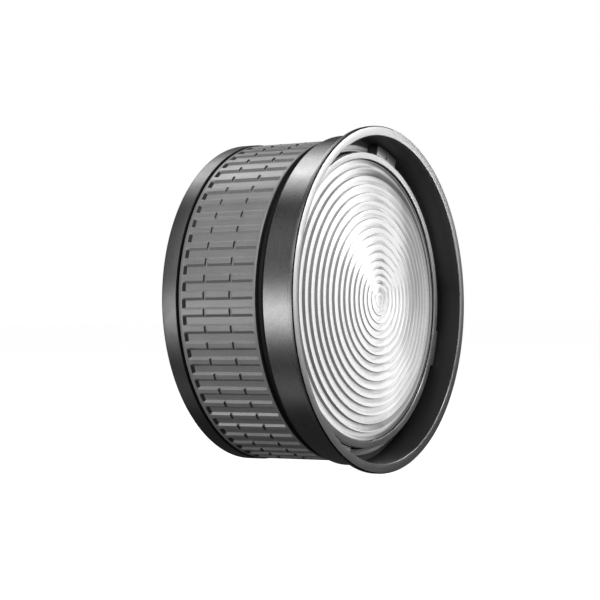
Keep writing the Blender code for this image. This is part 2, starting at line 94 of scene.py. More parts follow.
def fillet(outline, steps):
    """Rounds an outline of (radius, axial, rounding, slot); returns (radius, axial, slot)."""
    out = []
    for i, (radius, axial, rounding, slot) in enumerate(outline):
        if rounding <= 0:
            out.append((radius, axial, slot))
            continue
        corner = Vector((radius, axial))
        back = Vector(outline[i - 1][:2]) - corner
        ahead = Vector(outline[(i + 1) % len(outline)][:2]) - corner
        back_length, ahead_length = back.length, ahead.length
        back.normalize()
        ahead.normalize()
        half = math.acos(max(-1, min(1, back.dot(ahead)))) / 2
        if half > math.radians(88) or half < 1e-3:
            out.append((radius, axial, slot))
            continue
        # on a short side the arc takes less than half of the length
        trim = min(rounding / math.tan(half), back_length * 0.48, ahead_length * 0.48)
        arc_radius = trim * math.tan(half)
        centre = corner + (back + ahead).normalized() * (arc_radius / math.sin(half))
        first = corner + back * trim - centre
        last = corner + ahead * trim - centre
        sweep = first.angle(last)
        sign = 1 if first.x * last.y - first.y * last.x > 0 else -1
        for k in range(steps + 1):
            share = k / steps
            c, s = math.cos(sign * sweep * share), math.sin(sign * sweep * share)
            point = Vector((first.x * c - first.y * s, first.x * s + first.y * c)) + centre
            out.append((point.x, point.y, outline[i - 1][3] if share < 0.5 else slot))
    return out


def loft(sections, closed=False, edges=None):
    """Joins equal outlines into verts and faces; the run closes on itself or is capped.

    edges lists the outline edges that carry faces, by default all of them.
    """
    count = len(sections[0])
    runs = len(sections) if closed else len(sections) - 1
    faces = []
    for i in range(runs):
        here = i * count
        there = (i + 1) % len(sections) * count
        for edge in edges or range(count):
            after = (edge + 1) % count
            faces.append((here + edge, here + after, there + after, there + edge))
    if not closed:
        faces.append(tuple(range(count)))
        faces.append(tuple(runs * count + k for k in reversed(range(count))))
    return [vert for section in sections for vert in section], faces


def link_object(name, mesh):
    ob = bpy.data.objects.new(name, mesh)
    bpy.context.scene.collection.objects.link(ob)
    return ob


def finish_mesh(name, verts, faces, mats, slots=None, sharp=28, marks=None):
    """Makes a cleaned, smooth-shaded object; edges over sharp degrees stay hard."""
    mesh = bpy.data.meshes.new(name)
    mesh.from_pydata(verts, [], faces)
    if marks:
        mesh.attributes.new("ring", "FLOAT", "POINT").data.foreach_set("value", marks)
    for mat in mats:
        mesh.materials.append(mat)
    mesh.polygons.foreach_set("material_index", slots or [0] * len(faces))
    bm = bmesh.new()
    bm.from_mesh(mesh)
    bmesh.ops.remove_doubles(bm, verts=bm.verts[:], dist=1e-8)
    bmesh.ops.recalc_face_normals(bm, faces=bm.faces[:])
    bm.to_mesh(mesh)
    bm.free()
    mesh.shade_smooth()
    mesh.set_sharp_from_angle(angle=math.radians(sharp))
    return link_object(name, mesh)


def lathe(name, outline, mats, segments=288, round_steps=4, sharp=28, marks=None):
    """Turns a closed outline about the optical axis."""
    points = fillet(outline, round_steps)
    # an edge lying on the axis carries no faces
    edges = [i for i, point in enumerate(points)
             if point[0] >= 1e-6 or points[(i + 1) % len(points)][0] >= 1e-6]
    sections = [[place(radius, math.tau * s / segments, axial) for radius, axial, _ in points]
                for s in range(segments)]
    verts, faces = loft(sections, closed=True, edges=edges)
    slots = [points[i][2] for i in edges] * segments
    return finish_mesh(name, verts, faces, mats, slots, sharp, marks * segments if marks else None)


def add_bevel(ob, width):
    mod = ob.modifiers.new("bevel", "BEVEL")
    mod.width = width * MM
    mod.segments = 3
    mod.limit_method = "ANGLE"
    mod.angle_limit = math.radians(35)
    mod.harden_normals = True


def arc_block(name, radii, axials, angles, bevel, mat):
    """A bevelled block of rectangular section running round the axis."""
    steps = 30
    (inner, outer), (z0, z1), (start, end) = radii, axials, angles
    corners = ((inner, z0), (outer, z0), (outer, z1), (inner, z1))
    sections = [[polar(radius, start + (end - start) * k / steps, axial)
                 for radius, axial in corners] for k in range(steps + 1)]
    ob = finish_mesh(name, *loft(sections), [mat])
    add_bevel(ob, bevel)
    return ob


def cone_mesh(radius, far_radius, depth, segments):
    bm = bmesh.new()
    bmesh.ops.create_cone(bm, cap_ends=True, segments=segments, radius1=radius * MM,
                          radius2=far_radius * MM, depth=depth * MM)
    return bm


def cutter(bm, matrix):
    """Turns a bmesh into a boolean tool object."""
    bm.transform(matrix)
    mesh = bpy.data.meshes.new("cutter")
    bm.to_mesh(mesh)
    bm.free()
    return link_object("cutter", mesh)


def drill(centre, radius, depth, segments, far_radius=None):
    """A cylinder or cone parallel to the axis; centre is (radius, degrees, axial)."""
    bm = cone_mesh(radius, far_radius or radius, depth, segments)
    return cutter(bm, Matrix.Translation(polar(*centre)) @ Matrix.Rotation(math.pi / 2, 4, "X"))


def cut(ob, tools):
    """Cuts the tools out of ob, keeps the result as its mesh and removes the tools."""
    for tool in tools:
        mod = ob.modifiers.new("cut", "BOOLEAN")
        mod.operation = "DIFFERENCE"
        mod.object = tool
        mod.solver = "EXACT"
    depsgraph = bpy.context.evaluated_depsgraph_get()
    mesh = bpy.data.meshes.new_from_object(ob.evaluated_get(depsgraph))
    old = ob.data
    ob.modifiers.clear()
    ob.data = mesh
    bpy.data.meshes.remove(old)
    for tool in tools:
        bpy.data.objects.remove(tool, do_unlink=True)
    mesh.shade_smooth()
    mesh.set_sharp_from_angle(angle=math.radians(28))


def register(ob, node=None, carrier="housing"):
    """Tells the frame which part carries ob, which CAD node it replaces."""
    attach(ob, carrier)
    if node:
        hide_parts(node)


def recolour(node, mat):
    """Gives a CAD piece a single material."""
    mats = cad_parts[node].data.materials
    mats.clear()
    mats.append(mat)


# ------------------------------------------------------------------ shader helpers
class Value:
    """A shader output; arithmetic on it adds Math nodes."""

    def __init__(self, shader, socket):
        self.shader = shader
        self.socket = socket

    def math(self, operation, other=0.0):
        return self.shader.math(operation, self, other)

    def __add__(self, other):
        return self.math("ADD", other)

    def __radd__(self, other):
        return self.shader.math("ADD", other, self)

    def __sub__(self, other):
        return self.math("SUBTRACT", other)

    def __rsub__(self, other):
        return self.shader.math("SUBTRACT", other, self)

    def __mul__(self, other):
        return self.math("MULTIPLY", other)

    def __truediv__(self, other):
        return self.math("DIVIDE", other)

    def __pow__(self, other):
        return self.math("POWER", other)

    def fract(self):
        return self.math("FRACT")

    def at_least(self, other):
        return self.math("MAXIMUM", other)

    def at_most(self, other):
        return self.math("MINIMUM", other)

    def remap(self, start, end, low, high):
        """Goes from low at start to high at end, and stays level outside."""
        inputs = {0: self, 1: start, 2: end, 3: low, 4: high}
        return self.shader.node("ShaderNodeMapRange", inputs)

    def rise(self, start, end):
        """Mask from 0 at start to 1 at end."""
        return self.remap(start, end, low=0.0, high=1.0)

    def fall(self, start, end):
        """Mask from 1 at start to 0 at end."""
        return self.remap(start, end, low=1.0, high=0.0)

    def span(self, rise_start, rise_end, fall_start, fall_end):
        """Mask that rises and then falls again."""
        return self.rise(rise_start, rise_end) * self.fall(fall_start, fall_end)

    def vary(self, start, end, amount):
        """A factor that swings by amount about 1."""
        return self.remap(start, end, low=1 - amount, high=1 + amount)

    def dim(self, mask, amount):
        """Darkened by the share amount where mask is 1."""
        return self * (1.0 - mask * amount)


class Shader:
    """The node tree of a material or world."""

    def __init__(self, owner):
        self.owner = owner
        owner.use_nodes = True
        self.tree = owner.node_tree

    # the shaded point, in object coordinates: point in metres, the rest in mm and radians
    point = cached_property(lambda self: self.node("ShaderNodeTexCoord", output="Object"))
    metres = cached_property(lambda self: self.split(self.point))
    x = cached_property(lambda self: self.metres[0] * 1000.0)
    y = cached_property(lambda self: self.metres[1] * 1000.0)
    z = cached_property(lambda self: self.metres[2] * 1000.0)
    radius = cached_property(lambda self: (self.x * self.x + self.z * self.z).math("SQRT"))
    angle = cached_property(lambda self: self.x.math("ARCTAN2", self.z))

    def put(self, socket, value):
        """Links a Value to an input, or sets a plain value."""
        if isinstance(value, Value):
            self.tree.links.new(value.socket, socket)
        else:
            socket.default_value = value

    def node(self, kind, inputs=None, output=0, **props):
        """Adds a node, fills its inputs by index or name and returns one output."""
        made = self.tree.nodes.new(kind)
        for name, value in props.items():
            setattr(made, name, value)
        for key, value in (inputs or {}).items():
            self.put(made.inputs[key], value)
        return Value(self, made.outputs[output])

    def math(self, operation, first, second):
        inputs = {0: first, 1: second, 2: 0.0}
        return self.node("ShaderNodeMath", inputs, operation=operation)

    def vector_math(self, operation, inputs, output=0):
        return self.node("ShaderNodeVectorMath", inputs, output, operation=operation)

    def split(self, vector):
        made = self.node("ShaderNodeSeparateXYZ", {0: vector}).socket.node
        return [Value(self, socket) for socket in made.outputs]

    def vec(self, x, y, z):
        return self.node("ShaderNodeCombineXYZ", {0: x, 1: y, 2: z})

    def grey(self, value):
        return self.vec(value, value, value)

    def ramp(self, value, stops):
        """Grey colour ramp through (position, level) stops."""
        out = self.node("ShaderNodeValToRGB", {0: value})
        elements = out.socket.node.color_ramp.elements
        while len(elements) < len(stops):
            elements.new(0.5)
        for element, (position, level) in zip(elements, stops):
            element.position = position
            element.color = (level, level, level, 1)
        return out

    def noise(self, vector, detail, rough, scale=1.0):
        inputs = {"Vector": vector, "Scale": scale, "Detail": detail, "Roughness": rough}
        return self.node("ShaderNodeTexNoise", inputs, output="Fac")

    def bump(self, height, strength, distance, normal=None):
        inputs = {"Strength": strength, "Distance": distance, "Height": height}
        if normal is not None:
            inputs["Normal"] = normal
        return self.node("ShaderNodeBump", inputs)

    def toward(self, degrees):
        """Cosine of the angle round the axis from the given direction."""
        turn = math.radians(degrees)
        return (self.x * math.sin(turn) + self.z * math.cos(turn)) / self.radius

    def surface(self, inputs):
        """Fills the Principled inputs and returns the material."""
        for name, value in inputs.items():
            self.put(self.tree.nodes["Principled BSDF"].inputs[name], value)
        return self.owner


def new_shader(name):
    return Shader(bpy.data.materials.new(name))


# ------------------------------------------------------------------ materials
def turned_metal(name, grey, rough, lines=0.02, mottle=0.05, aniso=0.0, blast=0.006,
                 tint=(1, 1, 1), fade=None, fill=None):
    """Anodised metal: fine tool lines round the axis under a blasted, mottled skin.

    lines and blast are bump strengths. fade is painted shade: (start radius, end radius, factor at
    the end).
    fill is (angle, power, amount) of painted light: an emission on one side, standing in for light
    thrown back onto it.
    """
    m = new_shader(name)
    across = m.radius + m.y
    fine = m.noise(m.vec(across * 1.7, m.angle * 2.0, 0.0), detail=3.0, rough=0.6)
    grain = m.noise(m.point, scale=900.0, detail=2.0, rough=0.6)
    cloud = m.noise(m.point, scale=70.0, detail=4.0, rough=0.6)
    shade = cloud.vary(0.3, 0.7, mottle) * fine.vary(0.25, 0.75, mottle * 0.4)
    shade = shade * grain.vary(0.25, 0.75, mottle * 0.5)
    # painted shade: the colour darkens towards the outer radius, standing in for the rim's shadow
    if fade:
        start, end, factor = fade
        shade = shade * m.radius.remap(start, end, low=1.0, high=factor)
    base = (grey * tint[0], grey * tint[1], grey * tint[2], 1)
    mix = m.node("ShaderNodeMix", {0: 1.0, 6: base, 7: m.grey(shade)}, output=2,
                 data_type="RGBA", blend_type="MULTIPLY")
    roughness = cloud.remap(0.3, 0.7, low=rough * 1.10, high=rough * 0.92)
    roughness = roughness + fine.remap(0.2, 0.8, low=-0.015, high=0.015)
    normal = m.bump(fine, strength=lines, distance=0.0002)
    normal = m.bump(grain, strength=blast, distance=0.0001, normal=normal)
    tangent = m.node("ShaderNodeTangent", direction_type="RADIAL", axis="Y")
    if fill:
        angle, power, amount = fill
        # painted light: emission on the side towards the given angle, stronger outwards
        glow = m.toward(angle).at_least(0.0) ** power
        glow = glow * m.radius.remap(103.0, 106.0, low=0.6 * amount, high=1.35 * amount)
        m.surface({"Emission Color": m.grey(glow * shade), "Emission Strength": 1.0})
    return m.surface({"Base Color": mix, "Roughness": roughness, "Metallic": 1.0,
                      "Normal": normal, "Anisotropic": aniso, "Tangent": tangent})


def soft_rubber(name):
    """Moulded grey rubber with a fine axial grain, and painted shade and painted light on its
    pocket and notch walls.
    """
    m = new_shader(name)
    grey = 0.186
    x, z, radius = m.x, m.z, m.radius
    grain = m.noise(m.point, scale=1500.0, detail=3.0, rough=0.65)
    cloud = m.noise(m.point, scale=45.0, detail=3.0, rough=0.5)
    streak = m.noise(m.vec(m.y * 0.06, m.angle * 170.0, 0.0), detail=2.0, rough=0.6)
    colour = cloud.remap(0.3, 0.7, low=grey * 0.94, high=grey * 1.06)
    colour = colour * streak.remap(0.3, 0.7, low=0.92, high=1.08)
    colour = colour * grain.remap(0.2, 0.8, low=0.94, high=1.06)

    # parts of the normal: outwards, rearwards and clockwise
    normal_x, rearward, normal_z = m.split(m.node("ShaderNodeTexCoord", output="Normal"))
    outward = (normal_x * x + normal_z * z) / radius
    clockwise = (normal_x * z - normal_z * x) / radius

    wall = outward.fall(0.72, 0.95) * radius.fall(116.95, 117.05)
    front_facing = rearward.fall(-0.40, -0.22)
    lip = outward.rise(0.98, 0.90) * radius.rise(116.85, 117.0)
    lip = lip * rearward.rise(-0.3, 0.0)
    # painted shade and light: walls facing anticlockwise are darkened; those facing clockwise or
    # rearwards lightened
    painted_wall_shading = clockwise.fall(-0.45, -0.20) * 0.32 - clockwise.rise(0.20, 0.45) * 0.16
    painted_wall_shading = painted_wall_shading - rearward.rise(0.25, 0.5) * 0.5
    shade = 1.0 - wall * painted_wall_shading
    # painted shade on the pocket end walls that face the front, painted highlight on the lips; the
    # specular follows the same painted shade
    shade = shade.dim(front_facing * radius.fall(116.95, 117.05), 0.86)
    shade = shade + lip * 0.30

    colour = colour * shade
    roughness = (0.30 - wall * 0.02) + grain.remap(0.3, 0.7, low=-0.04, high=0.04)
    normal = m.bump(grain, strength=0.10, distance=0.0001)
    normal = m.bump(streak, strength=0.10, distance=0.0001, normal=normal)
    return m.surface({"Base Color": m.grey(colour), "Roughness": roughness, "Metallic": 0.0,
                      "Specular IOR Level": shade * 0.85, "Normal": normal})


def black_finish(name, grey, rough, spec, lines=0.1, paint_bore_light=False):
    """Matt black coating; for the bore, painted light lightens it along its top and bottom and
    towards its deep end.
    """
    m = new_shader(name)
    stretched = m.vec((m.radius + m.y) * 5.0, m.angle * 1.0, 0.0)
    fine = m.noise(stretched, detail=2.0, rough=0.5)
    grain = m.noise(m.point, scale=1800.0, detail=2.0, rough=0.6)
    colour = fine.remap(0.2, 0.8, low=grey * 0.8, high=grey * 1.25)
    if paint_bore_light:
        # painted light: lighter colour and specular along the top, more towards the deep end, and
        # along the bottom
        upward = m.toward(25.0)
        top = upward.rise(0.50, 0.85)
        deep = m.y.rise(FRONT_Y * 1000 + 6.0, FRONT_Y * 1000 + 18.0)
        painted_bore_light = top * (1.1 + deep * 2.0)
        painted_bore_light = painted_bore_light + upward.fall(-0.92, -0.70) * 0.6      # along the bottom
        painted_bore_light = painted_bore_light + 0.80                                 # everywhere
        colour = colour * painted_bore_light
        spec = (painted_bore_light * spec).at_most(1.0)
    roughness = grain.remap(0.3, 0.7, low=rough - 0.06, high=rough + 0.06)
    normal = m.bump(fine, strength=lines, distance=0.0002)
    normal = m.bump(grain, strength=0.08, distance=0.0001, normal=normal)
    return m.surface({"Base Color": m.grey(colour), "Roughness": roughness, "Metallic": 0.0,
                      "Specular IOR Level": spec, "Normal": normal})


def lens_glass(name, step=False):
    """Pressed stepped glass: facets that grey towards a grazing view, with painted lines and a
    painted glow given as emission; step is for the walls.

    The mesh attribute "ring" counts the rings: its fraction runs from valley to crest.
    """
    m = new_shader(name)
    x, z, radius = m.x, m.z, m.radius
    incoming = m.node("ShaderNodeNewGeometry", output="Incoming")
    slope = 2 * DOME_RISE / DOME_RADIUS ** 2
    dome_normal = m.vector_math("NORMALIZE", {0: m.vec(x * slope, -1.0, z * slope)})
    facing = m.vector_math("DOT_PRODUCT", {0: dome_normal, 1: incoming}, output="Value")
    ring = m.node("ShaderNodeAttribute", output="Fac", attribute_name="ring")
    unit_x, unit_z = x / radius, z / radius

    def streaks(around, outward, detail, rough):
        """Noise with one rate round the axis and another along the radius."""
        vector = m.vec(unit_x * around, unit_z * around, radius * outward)
        return m.noise(vector, detail, rough)

    def wedge(degrees, power):
        """Mask about one direction, narrower for a higher power."""
        turn = math.radians(degrees)
        cosine = unit_x * math.sin(turn) + unit_z * math.cos(turn)
        return cosine.at_least(0.0) ** power

    def ring_lines(shift, power):
        """One line per ring, moved by shift rings, thinner for a higher power."""
        return ((ring + shift).fract() * math.pi).math("SINE") ** power

    ray = streaks(around=60.0, outward=0.05, detail=2.0, rough=0.6)
    swirl = streaks(around=2.2, outward=0.55, detail=3.0, rough=0.6)
    drift = streaks(around=1.6, outward=0.03, detail=1.0, rough=0.5)

    # base tone by how squarely the dome faces the eye
    tone = m.ramp(facing.rise(0.20, 0.70), [
        (0.0, 0.30), (0.20, 0.36), (0.32, 0.41), (0.385, 0.56),
        (0.44, 0.76), (0.50, 0.83), (0.66, 0.95), (0.80, 1.0)])
    away = facing.fall(0.50, 0.64)

    # painted shade in thin dark valleys, painted highlights on thin bright crests, and painted
    # lines that drift across the rings
    ring_share = ring.fract()
    valley = (1.0 - ring_share) ** 9.0
    crest = ring_share ** 12.0
    wave = ring_lines(drift.remap(0.25, 0.75, low=-0.45, high=0.45), 6.0)

    # one radial streak of light fills the grooves, with broken dashes of painted shade beside it
    flare = wedge(324.0, 21.0) * radius.span(3.0, 9.0, 40.0, 80.0)
    flare = flare * ray.remap(0.25, 0.6, low=0.62, high=1.08)
    flare = flare * swirl.remap(0.3, 0.7, low=0.80, high=1.06)
    dash_reach = radius.rise(4.0, 8.0) * radius.remap(24.0, 40.0, low=1.0, high=0.3)
    dash = wedge(13.0, 16.0) * dash_reach
    ripple = wedge(30.0, 9.0) * radius.rise(38.0, 50.0)
    valley = valley.dim(flare, 0.9)
    dark = ring_lines(swirl.remap(0.3, 0.7, low=0.2, high=0.6), 4.0)
    tone = tone.dim(dash * dark, 0.60)
    tone = tone.dim(ripple * dark, 0.32)
    # painted shade: darker towards the middle, in lines on the right side, in the valleys and along
    # the drifting lines
    tone = tone * radius.remap(3.0, 16.0, low=0.80, high=1.0)
    right_side = wedge(90.0, 2.0) * away * radius.fall(56.0, 66.0)
    tone = tone.dim(right_side * ring_lines(0.15, 3.0), 0.30)
    tone = tone.dim(valley, away.remap(0, 1, low=0.25, high=0.45))
    tone = tone.dim(wave * away, 0.24)
    tone = tone * ray.remap(0.3, 0.7, low=0.94, high=1.05)
    tone = tone * swirl.remap(0.3, 0.7, low=0.88, high=1.10)

    # broad patches of the room seen through the glass: (mask, change in brightness)
    patches = [
        (x.span(10.0, 26.0, 44.0, 51.0) * z.rise(-30.0, -5.0), 0.26),
        (wedge(275.0, 1.5), 0.20),
        (wedge(312.0, 4.0) * radius.rise(64.0, 72.0), 0.17),
        (wedge(232.0, 3.0) * radius.fall(28.0, 42.0), 0.20),
        (wedge(147.0, 6.0) * radius.span(10.0, 20.0, 48.0, 62.0), -0.14),
        (wedge(118.0, 14.0) * radius.span(56.0, 64.0, 88.0, 96.0), 0.26),
        (wedge(24.0, 22.0) * radius.rise(79.0, 90.0), -0.42),
    ]
    gain = 1.03
    for mask, amount in patches:
        gain = gain + mask * amount
    tone = tone * gain

    # the outermost rings look past the edge of the bright field
    oblique = facing.fall(0.44, 0.54)
    outer_band = radius.span(88.0, 91.0, 95.0, 96.5)
    last_ring = radius.rise(98.3, 100.3)
    tone = tone.dim(oblique * outer_band, 0.68)
    tone = tone.dim(oblique * last_ring, 0.85)
    # painted highlight on the crests, stronger towards a grazing view
    tone = tone + crest * away.remap(0, 1, low=0.05, high=0.30)

    # painted shade on the step walls, except where the painted streak of light crosses them
    if step:
        tone = (tone * 0.2).at_least(flare * 0.75)
    # painted glow: the glass emits a share of its painted tone, as if lit from behind
    glow = tone * 0.26
    if not step:
        # broad sheen of the dome, towards a light on the right in front
        light = Vector((0.78, -0.60, 0.17)).normalized()
        view = m.vector_math("SCALE", {0: incoming, "Scale": -1.0})
        mirrored = m.vector_math("REFLECT", {0: view, 1: dome_normal})
        lobe = m.vector_math("DOT_PRODUCT", {0: mirrored, 1: light}, output="Value")
        sheen = lobe.at_least(0.0) ** 30.0
        glow = glow + sheen * tone * 0.24
    glow = glow + flare * 0.42
    # seen from straight ahead the glass looks into the dark drum and is less bright
    glow = glow * facing.remap(0.72, 0.95, low=1.0, high=0.35)
    skin = tone.at_most(0.95) * facing.remap(0.72, 0.95, low=1.0, high=0.55)
    return m.surface({
        "Base Color": m.grey(skin), "Roughness": 0.3 if step else 0.22, "Metallic": 0.0,
        "Specular IOR Level": 0.6, "Coat Weight": 0.6, "Coat Roughness": 0.06,
        "Normal": m.bump(swirl, strength=0.05, distance=0.0004),
        "Emission Color": m.grey(glow), "Emission Strength": 1.0})


MAT = {
    "housing": turned_metal("housing_anodised", grey=0.255, rough=0.27, aniso=0.35),
    "face": turned_metal("rim_face_turned", grey=0.68, rough=0.30, aniso=0.3, mottle=0.06),
    "band": turned_metal("rear_band_anodised", grey=0.185, rough=0.36, mottle=0.10),
    # the same metal again: a lighter copy for cut edges, partly a painted highlight, and darker
    # copies for the outer and rear chamfers, painted shade
    "edge": turned_metal("cut_edge_with_painted_highlight", grey=0.50, rough=0.28, mottle=0.03),
    "edge_dark": turned_metal("outer_chamfer_painted_shade", grey=0.010, rough=0.35),
    "rear_edge": turned_metal("rear_chamfer_painted_shade", grey=0.035, rough=0.4),
    "bore": black_finish("bore_black", grey=0.0142, rough=0.5, spec=0.4, paint_bore_light=True),
    "black": black_finish("barrel_black", grey=0.005, rough=0.55, spec=0.3),
    "slide": black_finish("slide_polymer", grey=0.007, rough=0.6, spec=0.25),
    "rubber": soft_rubber("grip_rubber_grey"),
    # painted light: the retaining ring glows on one side
    "ring": turned_metal("retaining_ring_turned", grey=0.72, rough=0.30, aniso=0.3,
                         fill=(50.0, 4.5, 0.21)),
    "ledge": turned_metal("barrel_tab_turned", grey=0.60, rough=0.33, mottle=0.06),
    # the clamp blocks carry painted shade, darker towards their outer edge
    "block": turned_metal("clamp_block_blasted", grey=1.0, rough=0.42, mottle=0.06,
                          lines=0.01, blast=0.02, fade=(110.5, 117.0, 0.30)),
    "steel": turned_metal("screw_steel", grey=0.62, rough=0.25),
    "mount": turned_metal("mount_ring_steel", grey=0.55, rough=0.26, mottle=0.06),
    "sleeve": turned_metal("sleeve_anodised", grey=0.06, rough=0.4),
    "glass": lens_glass("lens_facets"),
    "glass_step": lens_glass("lens_step_walls", step=True),
    "gasket": black_finish("gasket_rubber", grey=0.02, rough=0.8, spec=0.3, lines=0.02),
    "brass": turned_metal("bush_brass", grey=0.62, rough=0.3, tint=(1.0, 0.78, 0.4)),
}


def mats(*keys):
    return [MAT[key] for key in keys]


# Lathe outlines below are rows of (radius, axial, corner rounding, material slot).

# ------------------------------------------------------------------ front housing
# slots: 0 barrel, 1 face, 2 bright edge (cut edge, partly painted highlight), 3 dark edge (painted
# shade), 4 bore, 5 rear chamfer (painted shade)
HOUSING_OUTLINE = [
    (124.75, 0.0, 0.10, 3), (125.5, -0.75, 0.12, 0), (125.5, -3.75, 0.18, 2),
    (125.25, -4.0, 0.10, 0), (120.35, -4.0, 0.35, 0), (120.0, -4.35, 0.10, 0),
    (120.0, -27.1, 0.35, 5), (118.5, -29.5, 0.25, 5), (110.4, -29.5, 0.2, 4),
    (110.4, -26.5, 0.2, 4), (118.4, -26.5, 0.3, 4), (118.4, -0.45, 0.10, 2),
    (118.85, 0.0, 0.10, 1),
]


def front_housing():
    shell = lathe("front_housing_shell", HOUSING_OUTLINE,
                  mats("housing", "face", "edge", "edge_dark", "bore", "rear_edge"),
                  round_steps=3)
    cut(shell, [drill((CLAMP_RADIUS, angle, -28.0), HOLE_RADIUS, depth=8.0, segments=24)
                for angle in CLAMP_ANGLES])
    register(shell, "front_housing")


# ------------------------------------------------------------------ guide barrel
# slots: 0 black, 1 bright front end
BARREL_OUTLINE = [
    (110.0, -22.0, 0.2, 0), (110.0, -108.4, 0.2, 0), (114.7, -108.4, 0.2, 0),
    (114.7, -111.4, 0.2, 0), (108.3, -111.4, 0.2, 0), (108.3, -22.0, 0.2, 1),
]
SLOT_START = -45.0                  # axial position of the round front end's centre
SLOT_LENGTH = 45.0                  # between the centres of the two ends
SLOT_RADIUS = 3.3


def slot_cutter(degrees):
    """A round-ended bar along the axis that passes radially through the barrel wall."""
    out = Vector(polar(1000.0, degrees, 0.0)) - Vector(polar(0.0, 0.0, 0.0))
    out.normalize()
    bm = cone_mesh(SLOT_RADIUS, SLOT_RADIUS, depth=6, segments=32)
    for vert in bm.verts:
        if vert.co.x > 1e-9:
            vert.co.x += SLOT_LENGTH * MM
    along = Vector((0, 1, 0))
    basis = Matrix((along, out.cross(along), out)).transposed().to_4x4()
    return cutter(bm, Matrix.Translation(polar(109.2, degrees, SLOT_START)) @ basis)


def guide_barrel():
    """The tube with three long slots, and four tabs round its front end."""
    barrel = lathe("guide_barrel_tube", BARREL_OUTLINE, mats("black", "ledge"),
                   segments=216, round_steps=2)
    cut(barrel, [slot_cutter(60.0 + 120.0 * k) for k in range(3)])
    register(barrel, "guide_barrel")
    for k in range(4):
        tab = arc_block(f"guide_barrel_tab_{k + 1}", radii=(109.9, 113.0), axials=(-26.2, -22.0),
                        angles=(-21.0 + 90 * k, 8.0 + 90 * k), bevel=0.35, mat=MAT["ledge"])
        register(tab)


# ------------------------------------------------------------------ screws
SCREW_SIDES = 48
HEAD_HEIGHT = 2.0
SOCKET_DEPTH = 1.1


def round_radius(size, turn):
    return size


def hex_radius(size, turn):
    """Distance to the side of a hexagon that is size from middle to flat."""
    sixth = math.radians(60)
    return size / math.cos(((turn + sixth / 2) % sixth) - sixth / 2)


def screw(name, radius, degrees, seat, facing, round_rings, hex_rings):
    """A screw skinned over (size, height) rings, the heights measured from its seat.

    facing is 1 where heights run to the front and -1 where they run to the rear.
    """
    turn = math.radians(degrees)
    centre_x, centre_z = radius * math.sin(turn), radius * math.cos(turn)
    sections = []
    for rings, shape in ((round_rings, round_radius), (hex_rings, hex_radius)):
        for size, height in rings:
            section = []
            for i in range(SCREW_SIDES):
                t = math.tau * i / SCREW_SIDES
                reach = shape(size, t)
                section.append(((centre_x + reach * math.cos(t)) * MM,
                                FRONT_Y - (seat + facing * height) * MM,
                                (centre_z + reach * math.sin(t)) * MM))
            sections.append(section)
    return finish_mesh(name, *loft(sections), mats("steel"), sharp=30)


def cap_screw(name, radius, degrees, seat, facing, head, shank, shank_length, socket, dome):
    """A cap screw; head, shank and socket are radii, dome is the rounding of the head."""
    return screw(name, radius, degrees, seat, facing, [
        (shank, -shank_length), (shank, 0.0), (head, 0.0), (head, HEAD_HEIGHT - dome),
        (head - dome * 0.3, HEAD_HEIGHT - dome * 0.3), (head - dome, HEAD_HEIGHT),
        (socket + 0.25, HEAD_HEIGHT),
    ], [(socket * share * 0.9, height) for share, height in (
        (1.06, HEAD_HEIGHT - 0.08), (1.0, HEAD_HEIGHT - 0.2),
        (1.0, HEAD_HEIGHT - SOCKET_DEPTH), (0.55, HEAD_HEIGHT - SOCKET_DEPTH - 0.25))])


# (radius, height) and (socket size, height), heights running forwards from the rear face
COUNTERSUNK_ROUND = [(1.35, 4.9), (1.35, 1.75), (2.75, 0.25), (2.7, 0.15), (1.55, 0.15)]
COUNTERSUNK_HEX = [(1.1, 0.28), (1.1, 1.1), (0.55, 1.3)]


# ------------------------------------------------------------------ clamp blocks
CLAMP_SECTION = [                   # (radius, axial)
    (107.95, -18.0), (117.0, -18.0), (117.0, -26.2),
    (110.7, -26.2), (110.7, -21.7), (107.95, -21.7),
]
CLAMP_HALF_WIDTH = 14.1
CLAMP_STEPS = 24


def clamp_block(number, angle):
    """A stepped block between parallel sides, with a counterbored screw."""
    sections = []
    for i in range(CLAMP_STEPS + 1):
        across = 2.0 * i / CLAMP_STEPS - 1.0
        sections.append([
            polar(radius, angle + math.degrees(math.asin(CLAMP_HALF_WIDTH / radius)) * across,
                  axial) for radius, axial in CLAMP_SECTION])
    block = finish_mesh(f"clamp_block_{number}_body", *loft(sections), mats("block"))
    cut(block, [
        drill((CLAMP_RADIUS, angle, -17.9), radius=2.05, depth=8.0, segments=40),
        drill((CLAMP_RADIUS, angle, -24.0), HOLE_RADIUS, depth=14.0, segments=32)])
    add_bevel(block, 0.3)
    register(block, f"clamp_block_{number}")
    bolt = cap_screw(f"clamp_screw_{number}", CLAMP_RADIUS, angle, seat=-21.6, facing=1,
                     head=1.95, shank=1.35, shank_length=6.7, socket=1.1, dome=0.2)
    register(bolt, f"clamp_block_screw_{number}")


# ------------------------------------------------------------------ slide rings
FRONT_SLIDE_OUTLINE = [
    (114.4, -29.8, 0.2, 0), (114.4, -34.9, 0.2, 0), (110.4, -34.9, 0.1, 0), (110.4, -29.8, 0.1, 0),
]
REAR_SLIDE_OUTLINE = [
    (114.7, -99.8, 0.2, 0), (114.7, -108.1, 0.1, 0), (110.4, -108.1, 0.1, 0),
    (110.4, -99.8, 0.1, 0),
]


def slide_rings():
    for end, outline in (("front", FRONT_SLIDE_OUTLINE), ("rear", REAR_SLIDE_OUTLINE)):
        band = lathe(f"{end}_slide_ring_band", outline, mats("slide"))
        register(band, f"{end}_slide_ring")


